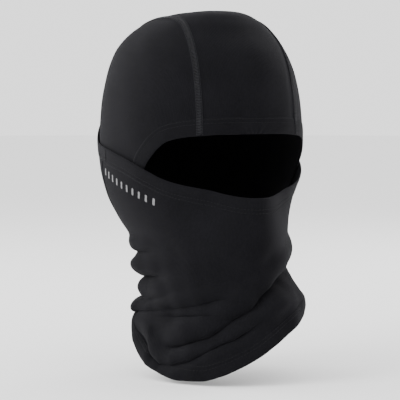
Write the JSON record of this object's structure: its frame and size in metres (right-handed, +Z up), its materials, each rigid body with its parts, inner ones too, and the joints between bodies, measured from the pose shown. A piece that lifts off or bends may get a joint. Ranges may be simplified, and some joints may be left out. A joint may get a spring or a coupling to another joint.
{
  "type": "hinged balaclava",
  "caption": "Close-fitting knit balaclava: a panelled hood with an outer neck tube whose front pulls up over the nose or down under the chin.",
  "frame": {"origin": "midway between the wearer's ear canals", "axes": "+Z up through the crown, -Y the way the face looks, -X the wearer's right"},
  "size_m": [0.1644, 0.2186, 0.2866],
  "materials": {
    "knit": "fine matt black jersey knit",
    "seam_thread": "flatlock thread, slightly lighter than the knit",
    "hem_thread": "twin-needle stitch thread",
    "reflective_print": "light grey reflective heat print",
    "label": "blank woven satin"
  },
  "bodies": {
    "hood": {"crown_panel": "knit", "side_panel_right": "knit", "side_panel_left": "knit", "crown_seam_right": "seam_thread", "crown_seam_left": "seam_thread", "face_opening_hem": "knit", "face_stitch_inner": "hem_thread", "face_stitch_outer": "hem_thread", "neck_join_seam": "seam_thread", "back_panel": "knit", "gaiter_front_panel": "knit", "side_seam_right": "seam_thread", "side_seam_left": "seam_thread", "back_top_hem": "knit", "bottom_hem": "knit", "bottom_stitch_lower": "hem_thread", "bottom_stitch_upper": "hem_thread", "bartack_right": "hem_thread", "bartack_left": "hem_thread", "care_label": "label"},
    "mask": {"mask_panel": "knit", "mask_top_hem": "knit", "mask_stitch_upper": "hem_thread", "mask_stitch_lower": "hem_thread", "reflective_mark": "reflective_print"}
  },
  "joints": [
    {"name": "mask_hinge", "type": "hinge", "parent": "hood", "child": "mask", "pos_m": [0, 0, 0], "axis": [1, 0, 0], "range_deg": [0, 32], "deforming": ["mask_panel"]}
  ]
}
